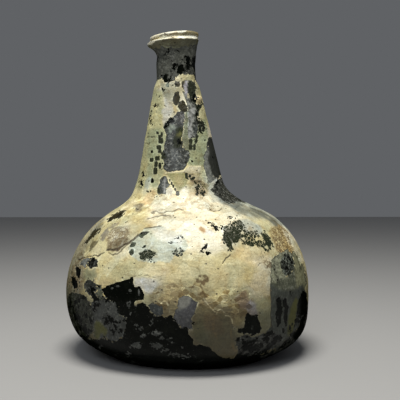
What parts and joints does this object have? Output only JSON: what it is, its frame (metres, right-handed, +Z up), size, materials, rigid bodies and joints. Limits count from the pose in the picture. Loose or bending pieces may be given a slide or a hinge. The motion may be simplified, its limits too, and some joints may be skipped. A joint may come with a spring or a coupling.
{
  "type": "onion bottle",
  "caption": "Squat free-blown black glass bottle with a long leaning neck, a laid-on string rim and a deep kick, its glass weathered and crusted by burial.",
  "frame": {"origin": "on the table, under the middle of the body's bounding box", "axes": "+Z up along the bottle's height; -Y is the front of the picture, and the neck leans a little towards -X"},
  "size_m": [0.1382, 0.1366, 0.1814],
  "materials": {
    "weathered_black_glass": "opaque black glass under a dull cream and ochre burial crust, glossy where the glass is bare"
  },
  "bodies": {
    "root": {"bottle": "weathered_black_glass"}
  },
  "joints": []
}
